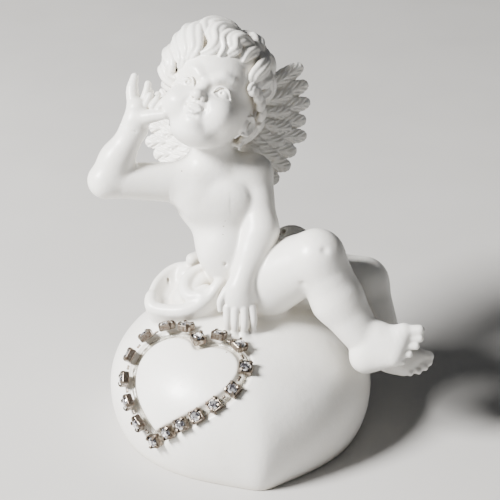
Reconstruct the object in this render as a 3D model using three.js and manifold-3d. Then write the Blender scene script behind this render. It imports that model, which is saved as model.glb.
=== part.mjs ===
// Resin angel figurine: a winged cherub sits on a puffy heart-shaped base. A heart of small
// rhinestones in square metal cups is glued into a groove in the front of the base.
// Millimetres, +Z up, origin on the table under the middle of the base. The front is -Y.
import * as THREE from 'three';
import { mergeVertices } from 'three/addons/utils/BufferGeometryUtils.js';
import Module from 'manifold-3d';

// ---- driving dimensions ---------------------------------------------------------------
const GLUE_GAP = 0.3;                 // clearance between pieces that are glued together

// puffy heart base
const BASE_RADIUS = 33;
const BASE_CENTRE = { x: 0, y: 1.5, z: 10 };   // z is the height of its widest section
const BASE_RISE = 22.5;               // from the widest section up to the crown
const BASE_DROP = 26;                 // virtual depth below it, cut flat at the table
const BASE_POWER = 2.1;               // 2 is a plain ellipsoid, more is squarer
const TIP_BEARING = -81;              // the heart's point, degrees from +X
const TIP_GROWTH = 0.105;
const TIP_WIDTH = 0.16;               // radians
const CLEFT_DEPTH = 0.2;              // the dent between the lobes, opposite the point
const CLEFT_WIDTH = 0.5;              // radians
const BASE_SIDES = 40;
const BASE_RINGS = 22;

// rhinestone heart
const CUP_WIDTH = 3.4;
const CUP_HEIGHT = 1.9;
const CUP_FLOOR = 0.35;
const CUP_WALL = 0.25;
const STONE_RADIUS = 1.2;
const STONE_CROWN = 0.8;              // the part of a stone above its girdle
const STONE_PAVILION = 0.9;           // the part below it
const LINK_WIDTH = 0.9;
const LINK_THICKNESS = 0.5;
const LINK_CLEARANCE = 1.35;          // what two turned cups take of the span, in cup widths
const GROOVE_RADIUS = 2.2;
const GROOVE_DEPTH = 1.5;
const BEAD_RADIUS = 0.3;
const BEAD_DEPTH = 0.8;               // its middle below the surface
const HEART_CENTRE = { x: -14.8, y: -19.2, z: 23.2 };
const HEART_FACING = { bearing: -127, rise: 45 };      // degrees

const RESIN = { color: 0xeeeae2, roughness: 0.42, metalness: 0 };
const CUP_METAL = { color: 0x8d8276, roughness: 0.35, metalness: 0.9 };
const CRYSTAL = { color: 0xd9d6e4, roughness: 0.05, metalness: 0.1 };
const GLUE = { color: 0xd8cfae, roughness: 0.25, metalness: 0 };

// ---- helpers --------------------------------------------------------------------------
const wasm = await Module();
wasm.setup();

const v3 = (x, y, z) => new THREE.Vector3(x, y, z);
const at = (p) => v3(p.x, p.y, p.z);
const rad = THREE.MathUtils.degToRad;
const UP = v3(0, 0, 1);

function toSolid(geometry) {
  const bare = geometry.clone();
  bare.deleteAttribute('normal');
  bare.deleteAttribute('uv');
  const merged = mergeVertices(bare, 1e-4);
  return new wasm.Manifold(new wasm.Mesh({
    numProp: 3,
    vertProperties: new Float32Array(merged.attributes.position.array),
    triVerts: new Uint32Array(merged.index.array),
  }));
}

function toGeometry(solid) {
  const mesh = solid.getMesh();
  const geometry = new THREE.BufferGeometry();
  geometry.setAttribute('position', new THREE.BufferAttribute(new Float32Array(mesh.vertProperties), 3));
  geometry.setIndex(new THREE.BufferAttribute(new Uint32Array(mesh.triVerts), 1));
  geometry.computeVertexNormals();
  return geometry;
}

const joined = (solids) => solids.reduce((all, one) => all.add(one));

function largestBody(solid) {
  return solid.decompose().reduce((best, one) => (one.volume() > best.volume() ? one : best));
}

function named(name, geometry, finish) {
  const mesh = new THREE.Mesh(geometry, new THREE.MeshStandardMaterial(finish));
  mesh.name = name;
  return mesh;
}

// the turn that takes +Z to a direction
const turnTo = (direction) => new THREE.Quaternion().setFromUnitVectors(UP, direction.clone().normalize());

// an ellipsoid; its own z axis points along `axis`
function blob(centre, radii, axis = UP, sides = 10) {
  const ball = new THREE.SphereGeometry(1, sides, Math.ceil(sides * 0.7));
  ball.rotateX(Math.PI / 2);
  ball.applyMatrix4(new THREE.Matrix4().compose(centre, turnTo(axis), v3(...radii)));
  return toSolid(ball);
}

// a tapered limb with round ends
function limb(from, to, startRadius, endRadius, sides = 10) {
  const length = from.distanceTo(to);
  const steps = sides > 10 ? 3 : 2;
  const profile = [];
  for (let i = 0; i <= steps; i += 1) {
    const angle = (i / steps - 1) * (Math.PI / 2);
    profile.push(new THREE.Vector2(startRadius * Math.cos(angle), startRadius * Math.sin(angle)));
  }
  for (let i = 0; i <= steps; i += 1) {
    const angle = (i / steps) * (Math.PI / 2);
    profile.push(new THREE.Vector2(endRadius * Math.cos(angle), length + endRadius * Math.sin(angle)));
  }
  profile[0].x = 0;
  profile[profile.length - 1].x = 0;
  const lathe = new THREE.LatheGeometry(profile, sides);
  lathe.rotateX(Math.PI / 2);
  lathe.applyMatrix4(new THREE.Matrix4().compose(from, turnTo(to.clone().sub(from)), v3(1, 1, 1)));
  return toSolid(lathe);
}

// ---- heart base -----------------------------------------------------------------------
const wrapped = (angle) => Math.abs(Math.atan2(Math.sin(angle), Math.cos(angle)));

// plan radius of the heart at a bearing; the point fades out towards the top
function planRadius(bearing, height) {
  const fromTip = wrapped(bearing - rad(TIP_BEARING));
  const fromCleft = wrapped(bearing - rad(TIP_BEARING + 180));
  const fade = THREE.MathUtils.clamp(1 - height / 30, 0, 1);
  const point = TIP_GROWTH * fade * Math.exp(-(Math.hypot(fromTip, 0.1) - 0.1) / TIP_WIDTH);
  const cleft = CLEFT_DEPTH * Math.exp(-((fromCleft / CLEFT_WIDTH) ** 2));
  return BASE_RADIUS * (1 + point - cleft);
}

// negative inside the base, positive outside
function baseField(p) {
  const x = p.x - BASE_CENTRE.x;
  const y = p.y - BASE_CENTRE.y;
  const z = p.z - BASE_CENTRE.z;
  const across = Math.hypot(x, y) / planRadius(Math.atan2(y, x), p.z);
  const along = Math.abs(z) / (z > 0 ? BASE_RISE : BASE_DROP);
  return (across ** BASE_POWER + along ** BASE_POWER) ** (1 / BASE_POWER) - 1;
}

// where a ray from `inside` towards `direction` leaves the base
function baseSurface(inside, direction) {
  let near = 0;
  let far = 80;
  for (let i = 0; i < 40; i += 1) {
    const middle = (near + far) / 2;
    if (baseField(inside.clone().addScaledVector(direction, middle)) < 0) near = middle;
    else far = middle;
  }
  return inside.clone().addScaledVector(direction, near);
}

function baseNormal(p) {
  const step = 0.05;
  const slope = (axis) => baseField(p.clone().addScaledVector(axis, step))
    - baseField(p.clone().addScaledVector(axis, -step));
  return v3(slope(v3(1, 0, 0)), slope(v3(0, 1, 0)), slope(UP)).normalize();
}

function baseSolid(grow) {
  const ball = new THREE.SphereGeometry(1, BASE_SIDES, BASE_RINGS);
  ball.rotateX(Math.PI / 2);
  const points = ball.attributes.position;
  const direction = v3(0, 0, 0);
  for (let i = 0; i < points.count; i += 1) {
    direction.fromBufferAttribute(points, i).normalize();
    const surface = baseSurface(at(BASE_CENTRE), direction).addScaledVector(direction, grow);
    points.setXYZ(i, surface.x, surface.y, surface.z);
  }
  const below = new THREE.BoxGeometry(100, 100, 60).translate(0, 0, -30);
  return toSolid(ball).subtract(toSolid(below));
}

// ---- the heart line that the stones follow ----------------------------------------------
// Two curves in the heart's own plane, x to the right and y up, from the cleft to the point.
const CLEFT = new THREE.Vector2(0.2, 10);
const POINT = new THREE.Vector2(-1, -15);
const LEFT_LOBE = new THREE.CubicBezierCurve(
  CLEFT, new THREE.Vector2(-9, 17), new THREE.Vector2(-27, -2), POINT);
const RIGHT_LOBE = new THREE.CubicBezierCurve(
  POINT, new THREE.Vector2(28, 6), new THREE.Vector2(9, 19), CLEFT);
const HEART_LINE = new THREE.CurvePath();
HEART_LINE.add(LEFT_LOBE);
HEART_LINE.add(RIGHT_LOBE);

const facing = v3(
  Math.cos(rad(HEART_FACING.rise)) * Math.cos(rad(HEART_FACING.bearing)),
  Math.cos(rad(HEART_FACING.rise)) * Math.sin(rad(HEART_FACING.bearing)),
  Math.sin(rad(HEART_FACING.rise)));
const heartRight = UP.clone().cross(facing).normalize();
const heartUp = facing.clone().cross(heartRight);
const onPlane = (point) => at(HEART_CENTRE)
  .addScaledVector(heartRight, point.x)
  .addScaledVector(heartUp, point.y);

// a frame on the base at a fraction of the heart line: the point, the surface normal and the
// directions along the line and away from the middle of the heart
function heartFrame(fraction) {
  const u = ((fraction % 1) + 1) % 1;
  const flat = HEART_LINE.getPointAt(u);
  const point = baseSurface(onPlane(flat).addScaledVector(facing, -14), facing);
  const normal = baseNormal(point);
  const tangent = HEART_LINE.getTangentAt(u);
  const along = heartRight.clone().multiplyScalar(tangent.x).addScaledVector(heartUp, tangent.y);
  along.addScaledVector(normal, -along.dot(normal)).normalize();
  const outward = normal.clone().cross(along).normalize();
  if (outward.dot(point.clone().sub(at(HEART_CENTRE))) < 0) outward.negate();
  return { point, normal, along, outward };
}

// a round cord laid along one lobe of the heart line, at a height over the surface
function lobeTube(start, end, radius, height, sides, steps) {
  const route = [];
  for (let i = 0; i <= steps; i += 1) {
    const { point, normal } = heartFrame(start + (end - start) * (i / steps));
    route.push(point.addScaledVector(normal, height));
  }
  const corners = new THREE.EllipseCurve(0, 0, radius, radius).getPoints(sides).slice(0, sides);
  const tube = new THREE.ExtrudeGeometry(new THREE.Shape(corners), {
    extrudePath: new THREE.CatmullRomCurve3(route),
    steps,
    bevelEnabled: false,
  });
  return toSolid(tube);
}

// both lobes, with a ball where they meet at the cleft and at the point
function heartTube(radius, height, sides, steps) {
  const pointAt = LEFT_LOBE.getLength() / HEART_LINE.getLength();
  const ball = (fraction) => {
    const { point, normal } = heartFrame(fraction);
    return blob(point.addScaledVector(normal, height), [radius, radius, radius], normal, sides);
  };
  return joined([
    lobeTube(0, pointAt, radius, height, sides, steps),
    lobeTube(pointAt, 1, radius, height, sides, steps),
    ball(0),
    ball(pointAt),
  ]);
}

// ---- cherub: where the body's joints are -------------------------------------------------
// "near" and "far" legs are as seen from the front; the raised arm is on the -X side.
const CHEST = v3(-5.5, 7, 59.5);
const BELLY = v3(-3.2, 4, 48);
const PELVIS = v3(0.5, 4.5, 38.5);
const NECK_LOW = v3(-7, 8.5, 67);
const NECK_HIGH = v3(-6.5, 8.5, 76);
const RAISED_SHOULDER = v3(-12, 6, 63.5);
const RAISED_ELBOW = v3(-32, 3, 65.5);
const RAISED_WRIST = v3(-24.8, 5.5, 77);
const RAISED_PALM = v3(-22.5, 6.5, 81);
const LOWERED_SHOULDER = v3(3, 8.5, 64.5);
const LOWERED_ELBOW = v3(5, 0.5, 53.5);
const LOWERED_WRIST = v3(0, -7, 42.2);
const LOWERED_PALM = v3(-0.2, -8.2, 39.4);
const NEAR_HIP = v3(6.5, 0.5, 39.5);
const NEAR_KNEE = v3(18.5, -5.5, 49.3);
const NEAR_CALF = v3(23.5, -8, 39);
const NEAR_ANKLE = v3(29.5, -11.5, 29.5);
const NEAR_HEEL = v3(28.5, -12.8, 26.5);
const NEAR_BALL = v3(37.5, -14.8, 29.8);
const FAR_HIP = v3(5.5, 10, 36.5);
const FAR_KNEE = v3(30.5, 4.5, 36.5);
const FAR_ANKLE = v3(36, -4, 25.5);
const FAR_BALL = v3(41.5, -6.8, 22.8);

const HEAD_CENTRE = v3(-6.7, 9.8, 83.3);
const HEAD_TURN = -13;                // degrees, towards the raised arm
const HEAD_TILT = 41;                 // looking up
const HEAD_ROLL = 12.5;               // leaning away from the raised hand

// the head's own frame: x across the face, y up, z forward
function headFrame() {
  const turn = rad(HEAD_TURN);
  const tilt = rad(HEAD_TILT);
  const roll = rad(HEAD_ROLL);
  const forward = v3(Math.sin(turn) * Math.cos(tilt), -Math.cos(turn) * Math.cos(tilt), Math.sin(tilt));
  const level = v3(Math.cos(turn), Math.sin(turn), 0);
  const upright = forward.clone().cross(level);
  const across = level.clone().multiplyScalar(Math.cos(roll)).addScaledVector(upright, -Math.sin(roll));
  const up = upright.clone().multiplyScalar(Math.cos(roll)).addScaledVector(level, Math.sin(roll));
  return new THREE.Matrix4().makeBasis(across, up, forward).setPosition(HEAD_CENTRE);
}
const HEAD = headFrame();
const inHead = (x, y, z) => v3(x, y, z).applyMatrix4(HEAD);

// an ellipsoid given in the head's frame, radii along x, z and y of that frame
function headBlob(centre, [across, deep, tall], sides = 8) {
  const ball = new THREE.SphereGeometry(1, sides, Math.ceil(sides * 0.7));
  ball.scale(across, tall, deep);
  ball.translate(...centre);
  ball.applyMatrix4(HEAD);
  return toSolid(ball);
}

const SKULL = [-1.7, 6.6, -2.3];
const SKULL_RADII = [10.4, 10.7, 10.2];

// curls in rows round the skull, left open over the face
const HAIR_ROWS = [
  { rise: 34, count: 8, size: 3.9, faceGap: 0 },
  { rise: 72, count: 4, size: 4.1, faceGap: 0 },
  { rise: -2, count: 7, size: 3.9, faceGap: 62 },
  { rise: -34, count: 5, size: 3.9, faceGap: 84 },
];
const HAIR_RING = 9.6;                // from the middle of the skull to the middle of a curl

function hair(grow) {
  const curls = [];
  for (const { rise, count, size, faceGap } of HAIR_ROWS) {
    const sweep = faceGap === 0 ? 360 / count : (360 - 2 * faceGap) / (count - 1);
    const ring = HAIR_RING * Math.cos(rad(rise));
    const level = HAIR_RING * Math.sin(rad(rise));
    for (let i = 0; i < count; i += 1) {
      const bearing = rad(faceGap + i * sweep);
      const centre = [SKULL[0] + ring * Math.sin(bearing), SKULL[1] + level, SKULL[2] + ring * Math.cos(bearing)];
      curls.push(headBlob(centre, [size + grow, size + grow, size + grow], 6));
    }
  }
  return curls;
}

function head(grow) {
  const g = grow;
  const pair = (x, y, z, radii, sides) => [-1, 1].map((side) => headBlob([side * x, y, z], radii, sides));
  return [
    headBlob(SKULL, SKULL_RADII.map((radius) => radius + g), 12),
    headBlob([0, -3.3, 2.1], [9.1 + g, 8.4 + g, 8.6 + g], 12),    // face
    headBlob([0, -0.5, -2], [9.9 + g, 8.2 + g, 8 + g], 10),       // sides of the head
    ...pair(4.8, -5, 6.7, [3.3 + g, 4 + g, 3.7 + g], 8),          // cheeks
    headBlob([0, -8.4, 8.1], [2.4 + g, 1.9 + g, 1.8 + g], 6),     // chin
    headBlob([0, -10.5, 4.1], [5 + g, 4.4 + g, 2.4 + g], 8),      // under the chin
    headBlob([-0.3, -2.5, 11.2], [1.3 + g, 1.3 + g, 1.2 + g], 6), // nose
    headBlob([0, -5.8, 10.2], [2 + g, 1.2 + g, 1.3 + g], 6),      // lips
    ...pair(9.8, -3, -1.6, [1.4 + g, 2.3 + g, 2.6 + g], 6),       // ears
    ...hair(g),
  ];
}

function torso(grow) {
  const g = grow;
  return [
    blob(CHEST, [11 + g, 7.4 + g, 9.8 + g], v3(-0.12, 0.2, 1), 12),
    limb(CHEST, BELLY, 7.6 + g, 6.8 + g, 10),
    limb(BELLY, PELVIS, 6.8 + g, 8 + g, 10),
    blob(v3(3.5, 9, 38.5), [8.5 + g, 7.5 + g, 6.5 + g], UP, 8),   // seat
    limb(NECK_LOW, NECK_HIGH, 5.2 + g, 4.6 + g, 9),
    limb(RAISED_SHOULDER, NECK_LOW, 4.2 + g, 4.6 + g, 8),         // slope of the shoulders
    limb(LOWERED_SHOULDER, NECK_LOW, 4.2 + g, 4.6 + g, 8),
  ];
}

// four fingers side by side from a row of knuckles, each ending in its own tip
function fingers(knuckles, tips, radius) {
  return knuckles.map((knuckle, i) => limb(knuckle, tips[i], radius, radius * 0.8, 5));
}

function raisedArm(grow) {
  const g = grow;
  const knuckles = [v3(-24.5, 7.5, 82.5), v3(-22.3, 7.5, 83.5), v3(-20.8, 7, 84), v3(-19.3, 6.5, 83.5)];
  const tips = [v3(-25.5, 10.5, 88.5), v3(-22, 9.5, 87), v3(-20, 7.5, 85.5), v3(-18, 6.5, 83.5)];
  return [
    limb(RAISED_SHOULDER, RAISED_ELBOW, 5.2 + g, 4.1 + g, 9),
    limb(RAISED_ELBOW, RAISED_WRIST, 4.1 + g, 3.2 + g, 9),
    blob(RAISED_PALM, [3.2 + g, 2.2 + g, 3.8 + g], v3(0.2, 0.2, 1), 7),
    limb(v3(-21.5, 5.5, 79.5), v3(-17.5, 5, 82), 1.3 + g, 1 + g, 6),
    ...fingers(knuckles, tips, 1 + g),
  ];
}

function loweredArm(grow) {
  const g = grow;
  const knuckles = [-3, -1.1, 1, 2.8].map((x) => v3(x, -9.6, 37.5));
  const tips = [-2.9, -1.2, 0.9, 3.1].map((x) => v3(x, -10.8, 32.4));
  return [
    limb(LOWERED_SHOULDER, LOWERED_ELBOW, 4.9 + g, 4.1 + g, 9),
    limb(LOWERED_ELBOW, LOWERED_WRIST, 4 + g, 2.8 + g, 9),
    blob(LOWERED_PALM, [3.8 + g, 2.1 + g, 3.6 + g], v3(0, 0.35, 1), 7),
    limb(v3(-3.3, -7.8, 41.2), v3(-4.8, -9.3, 37), 1.2 + g, 0.9 + g, 6),
    ...fingers(knuckles, tips, 0.9 + g),
  ];
}

// toes fanned from the big toe to the little toe
function toes(big, little, direction, grow) {
  const list = [];
  for (let i = 0; i < 5; i += 1) {
    const radius = (i === 0 ? 1.6 : 1.2 - 0.08 * i) + grow;
    const root = big.clone().lerp(little, i / 4);
    list.push(limb(root, root.clone().addScaledVector(direction, 2.6 - 0.35 * i), radius, radius * 0.9, 5));
  }
  return list;
}

function nearLeg(grow) {
  const g = grow;
  return [
    limb(NEAR_HIP, NEAR_KNEE, 9 + g, 6.6 + g, 11),
    limb(NEAR_KNEE, NEAR_CALF, 6.2 + g, 6.2 + g, 10),
    limb(NEAR_CALF, NEAR_ANKLE, 6.2 + g, 4.2 + g, 10),
    blob(NEAR_HEEL, [3.6 + g, 3.6 + g, 3.8 + g], UP, 7),
    limb(NEAR_ANKLE, NEAR_BALL, 4 + g, 3.2 + g, 8),
    blob(NEAR_BALL, [4 + g, 2.8 + g, 5.2 + g], v3(0.35, 0.35, 1), 8),
    ...toes(v3(40.8, -13.3, 33), v3(38.2, -17.3, 26.6), v3(0.95, -0.1, 0.2).normalize(), g),
  ];
}

function farLeg(grow) {
  const g = grow;
  return [
    limb(FAR_HIP, FAR_KNEE, 8.4 + g, 6.4 + g, 9),
    limb(FAR_KNEE, FAR_ANKLE, 6.2 + g, 4 + g, 9),
    limb(FAR_ANKLE, FAR_BALL, 3.6 + g, 3.2 + g, 7),
    ...toes(v3(44.8, -7, 23.4), v3(42.5, -10.5, 20.5), v3(0.9, -0.25, -0.1).normalize(), g),
  ];
}

// the cloth the cherub sits on: shell-like folds round the hips
function drape(grow) {
  const g = grow;
  return [
    blob(v3(-14.5, -0.5, 36), [7.8 + g, 6.5 + g, 5.4 + g], v3(0.25, -0.5, 1), 9),
    blob(v3(-8, -3, 35), [7.5 + g, 5.5 + g, 4.4 + g], v3(0.1, -0.6, 1), 9),
    blob(v3(-15.5, 2.5, 39), [6 + g, 5 + g, 3.6 + g], v3(0.5, -0.2, 1), 8),
    blob(v3(-3, 13, 36.5), [9 + g, 6.5 + g, 6 + g], UP, 8),
    blob(v3(11.5, 14, 41.5), [6.5 + g, 5.5 + g, 5.5 + g], v3(0.2, 0.2, 1), 8),
  ];
}

const cherub = (grow) => joined([
  ...torso(grow), ...head(grow), ...raisedArm(grow), ...loweredArm(grow),
  ...nearLeg(grow), ...farLeg(grow), ...drape(grow),
]);

// ---- wings --------------------------------------------------------------------------------
const FEATHER_HALF_WIDTH = 3;
const FEATHER_HALF_THICKNESS = 1.3;
const FEATHER_OVERREACH = 1.06;       // the blade's length over the distance it spans

// Each wing is a fan of overlapping feathers on a short bone that is glued to the back. The
// feather tips follow a curve from the lowest one, round the outer edge, to the wing tip.
function wing({ root, bend, low, edge, tip, feathers }) {
  const rim = new THREE.QuadraticBezierCurve3(low, edge, tip);
  const blades = [];
  for (let i = 0; i < feathers; i += 1) {
    const k = i / (feathers - 1);
    const start = root.clone().lerp(bend, k);
    const end = rim.getPoint(k);
    const along = end.clone().sub(start);
    const face = along.clone().cross(rim.getTangent(k)).normalize();
    const wide = along.clone().cross(face).normalize();
    const blade = new THREE.SphereGeometry(1, 6, 6);
    const basis = new THREE.Matrix4().makeBasis(
      wide.multiplyScalar(FEATHER_HALF_WIDTH),
      along.clone().multiplyScalar(0.5 * FEATHER_OVERREACH),
      face.multiplyScalar(FEATHER_HALF_THICKNESS));
    blade.applyMatrix4(basis.setPosition(start.add(end).multiplyScalar(0.5)));
    blades.push(toSolid(blade));
  }
  return joined([...blades, limb(root, bend, 3, 2, 7)]);
}

const RIGHT_WING = {
  root: v3(1.5, 16.5, 63), bend: v3(3, 26, 76), low: v3(10.5, 19.5, 57.5), edge: v3(21, 25, 68),
  tip: v3(16.5, 30.5, 84.5), feathers: 7,
};
const LEFT_WING = {
  root: v3(-9.5, 15, 63.5), bend: v3(-9, 26, 76), low: v3(-20, 18, 60.5), edge: v3(-28, 24, 67),
  tip: v3(-17.5, 30.5, 82), feathers: 7,
};

// ---- rhinestones, cups and links ------------------------------------------------------------
// a square cup: a four-sided lathe, open at the top
function cupGeometry() {
  const corner = Math.SQRT2;           // half width to corner distance
  const outer = (CUP_WIDTH / 2) * corner;
  const inner = (CUP_WIDTH / 2 - CUP_WALL) * corner;
  const profile = [
    [0, 0], [outer, 0], [outer, CUP_HEIGHT], [inner, CUP_HEIGHT], [inner, CUP_FLOOR], [0, CUP_FLOOR],
  ];
  const cup = new THREE.LatheGeometry(profile.map((p) => new THREE.Vector2(...p)), 4);
  return cup.rotateX(Math.PI / 2).rotateZ(Math.PI / 4);
}

// a faceted stone with a flat table above its girdle and a pointed pavilion below
function stoneGeometry() {
  const profile = [
    [0, -STONE_PAVILION], [STONE_RADIUS, 0], [STONE_RADIUS * 0.55, STONE_CROWN], [0, STONE_CROWN],
  ];
  const stone = new THREE.LatheGeometry(profile.map((p) => new THREE.Vector2(...p)), 8);
  return stone.rotateX(Math.PI / 2);
}

// how far apart neighbouring cups sit along the heart line, starting at the cleft
const CUP_STEPS = [5, 5, 5.3, 5.6, 5.6, 5.6, 5.5, 5.6, 4.6, 4.4, 4.4, 5, 5.6, 6, 6, 5.5, 5.3];
const FIRST_CUP = 0.5;                 // from the cleft to the first cup
const CUP_LEAN = 17;                   // degrees outwards, on average
const CUP_LEAN_RANGE = 26;             // more on the outer side of the base, less towards the front

function cupStations() {
  const total = CUP_STEPS.reduce((sum, step) => sum + step);
  const stations = [];
  let travelled = FIRST_CUP;
  for (const step of CUP_STEPS) {
    stations.push(travelled / total);
    travelled += step;
  }
  return stations;
}

// the cups on the outer side of the base lean outwards; those that face the front hardly do
function cupPlace(fraction) {
  const { point, normal, along, outward } = heartFrame(fraction);
  const sideways = -0.8 * outward.dot(heartRight) + 0.6 * outward.dot(heartUp);
  const lean = rad(CUP_LEAN + CUP_LEAN_RANGE * sideways);
  const axis = normal.clone().multiplyScalar(Math.cos(lean)).addScaledVector(outward, Math.sin(lean));
  const lift = (CUP_WIDTH / 2) * Math.sin(lean);
  const turn = new THREE.Matrix4().makeBasis(along, axis.clone().cross(along), axis);
  return { foot: point.addScaledVector(normal, lift), axis, turn };
}

function placed(mesh, position, turn) {
  mesh.position.copy(position);
  mesh.quaternion.setFromRotationMatrix(turn);
  return mesh;
}

function stoneHeart() {
  const heart = new THREE.Group();
  const cup = cupGeometry();
  const stone = stoneGeometry();
  const places = cupStations().map(cupPlace);
  let links = 0;
  places.forEach(({ foot, axis, turn }, i) => {
    const number = String(i + 1).padStart(2, '0');
    heart.add(placed(named(`rhinestone_cup_${number}`, cup, CUP_METAL), foot, turn));
    const seat = foot.clone().addScaledVector(axis, CUP_FLOOR + STONE_PAVILION + GLUE_GAP);
    heart.add(placed(named(`rhinestone_${number}`, stone, CRYSTAL), seat, turn));

    const next = places[(i + 1) % places.length];
    const span = next.foot.clone().sub(foot);
    const length = span.length() - LINK_CLEARANCE * CUP_WIDTH;
    if (length < 0.6) return;
    links += 1;
    const middle = foot.clone().addScaledVector(span, 0.5)
      .addScaledVector(axis, 0.35).addScaledVector(next.axis, 0.35);
    const linkAxis = axis.clone().add(next.axis).normalize();
    const reach = span.clone().addScaledVector(linkAxis, -span.dot(linkAxis)).normalize();
    const linkTurn = new THREE.Matrix4().makeBasis(reach, linkAxis.clone().cross(reach), linkAxis);
    const bar = new THREE.BoxGeometry(length, LINK_WIDTH, LINK_THICKNESS);
    const name = `chain_link_${String(links).padStart(2, '0')}`;
    heart.add(placed(named(name, bar, CUP_METAL), middle, linkTurn));
  });
  return heart;
}

// ---- assembly -------------------------------------------------------------------------------
const groove = heartTube(GROOVE_RADIUS, GROOVE_RADIUS - GROOVE_DEPTH, 8, 16);
const base = baseSolid(0).subtract(groove);
const figure = cherub(0).subtract(baseSolid(GLUE_GAP));
const clearance = cherub(GLUE_GAP);
const bead = heartTube(BEAD_RADIUS, -BEAD_DEPTH, 5, 16);

const group = new THREE.Group();
group.add(named('heart_base', toGeometry(largestBody(base)), RESIN));
group.add(named('cherub_figure', toGeometry(largestBody(figure)), RESIN));
group.add(named('left_wing', toGeometry(largestBody(wing(LEFT_WING).subtract(clearance))), RESIN));
group.add(named('right_wing', toGeometry(largestBody(wing(RIGHT_WING).subtract(clearance))), RESIN));
group.add(named('glue_bead', toGeometry(bead), GLUE));
group.add(stoneHeart());

export default group;
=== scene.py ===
# Resin angel figurine: the visible surface. The castings are sculpted as distance fields on a
# grid and meshed here; the rhinestones, cups and links are built round the CAD pieces.
import math

import bmesh
import bpy
import numpy as np
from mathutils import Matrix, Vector


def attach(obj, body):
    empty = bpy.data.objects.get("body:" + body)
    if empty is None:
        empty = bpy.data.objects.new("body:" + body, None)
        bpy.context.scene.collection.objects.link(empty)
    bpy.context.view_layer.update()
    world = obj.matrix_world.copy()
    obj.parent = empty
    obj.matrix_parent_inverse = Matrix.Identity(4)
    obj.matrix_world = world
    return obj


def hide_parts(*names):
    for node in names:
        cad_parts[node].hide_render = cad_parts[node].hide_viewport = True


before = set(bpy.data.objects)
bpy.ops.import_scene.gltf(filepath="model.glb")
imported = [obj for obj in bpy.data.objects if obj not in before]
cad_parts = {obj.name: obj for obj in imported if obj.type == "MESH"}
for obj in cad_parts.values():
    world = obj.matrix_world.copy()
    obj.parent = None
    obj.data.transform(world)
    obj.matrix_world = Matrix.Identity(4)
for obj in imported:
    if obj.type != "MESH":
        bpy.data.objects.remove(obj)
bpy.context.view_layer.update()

MM = 0.001
FAR = 6.0                  # the field's value where no shape is near


# ---- small vector helpers, in millimetres ----
def vec(*xyz):
    return np.array(xyz, float)


def unit(v):
    return v / np.linalg.norm(v)


def spline(points, count):
    """A smooth curve through given points (Catmull-Rom), sampled evenly in parameter."""
    p = np.array(points, float)
    p = np.vstack([2 * p[0] - p[1], p, 2 * p[-1] - p[-2]])
    t = np.linspace(0, len(p) - 3 - 1e-6, count)
    i = t.astype(int)
    u = (t - i)[:, None]
    a, b, c, d = p[i], p[i + 1], p[i + 2], p[i + 3]
    return 0.5 * (2 * b + (c - a) * u + (2 * a - 5 * b + 4 * c - d) * u**2 + (3 * b - a - 3 * c + d) * u**3)


def blend_min(a, b, k):
    """Union of two distance fields with a fillet of about k."""
    if k <= 0:
        return np.minimum(a, b)
    h = np.maximum(k - np.abs(a - b), 0) / k
    return np.minimum(a, b) - h * h * k * 0.25


# ---- shapes: (lowest corner, highest corner, distance function) ----
def ellipsoid(centre, radii, axes=np.eye(3)):
    """An ellipsoid with radii along the rows of axes."""
    c, r, m = np.array(centre, float), np.array(radii, float), np.array(axes, float)
    reach = np.sqrt(((m * r[:, None]) ** 2).sum(0))

    def distance(x, y, z):
        x, y, z = x - c[0], y - c[1], z - c[2]
        local = [m[i, 0] * x + m[i, 1] * y + m[i, 2] * z for i in range(3)]
        near = np.sqrt(sum((local[i] / r[i]) ** 2 for i in range(3)))
        slope = np.sqrt(sum((local[i] / r[i] ** 2) ** 2 for i in range(3)))
        return near * (near - 1) / np.maximum(slope, 1e-4)

    return c - reach, c + reach, distance


def taper(a, b, ra, rb):
    """A round-ended limb whose radius runs from ra to rb."""
    a, b = np.array(a, float), np.array(b, float)
    ab = b - a
    length2 = max(ab @ ab, 1e-6)
    r = max(ra, rb)

    def distance(x, y, z):
        x, y, z = x - a[0], y - a[1], z - a[2]
        t = np.clip((x * ab[0] + y * ab[1] + z * ab[2]) / length2, 0, 1)
        away = np.sqrt((x - t * ab[0]) ** 2 + (y - t * ab[1]) ** 2 + (z - t * ab[2]) ** 2)
        return away - (ra + (rb - ra) * t)

    return np.minimum(a, b) - r, np.maximum(a, b) + r, distance


def merged(shapes, k):
    """Several shapes as one, blended among themselves before they meet anything else."""
    low = np.min([shape[0] for shape in shapes], axis=0)
    high = np.max([shape[1] for shape in shapes], axis=0)

    def distance(x, y, z):
        out = shapes[0][2](x, y, z)
        for shape in shapes[1:]:
            out = blend_min(out, shape[2](x, y, z), k)
        return out

    return low, high, distance


def chain(points, radii):
    """Tapers joined end to end along a list of points."""
    points = np.array(points, float)
    radii = np.atleast_1d(radii)
    radii = np.interp(np.linspace(0, 1, len(points)), np.linspace(0, 1, len(radii)), radii)
    return merged([taper(*step) for step in zip(points, points[1:], radii, radii[1:])], 0)


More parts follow.
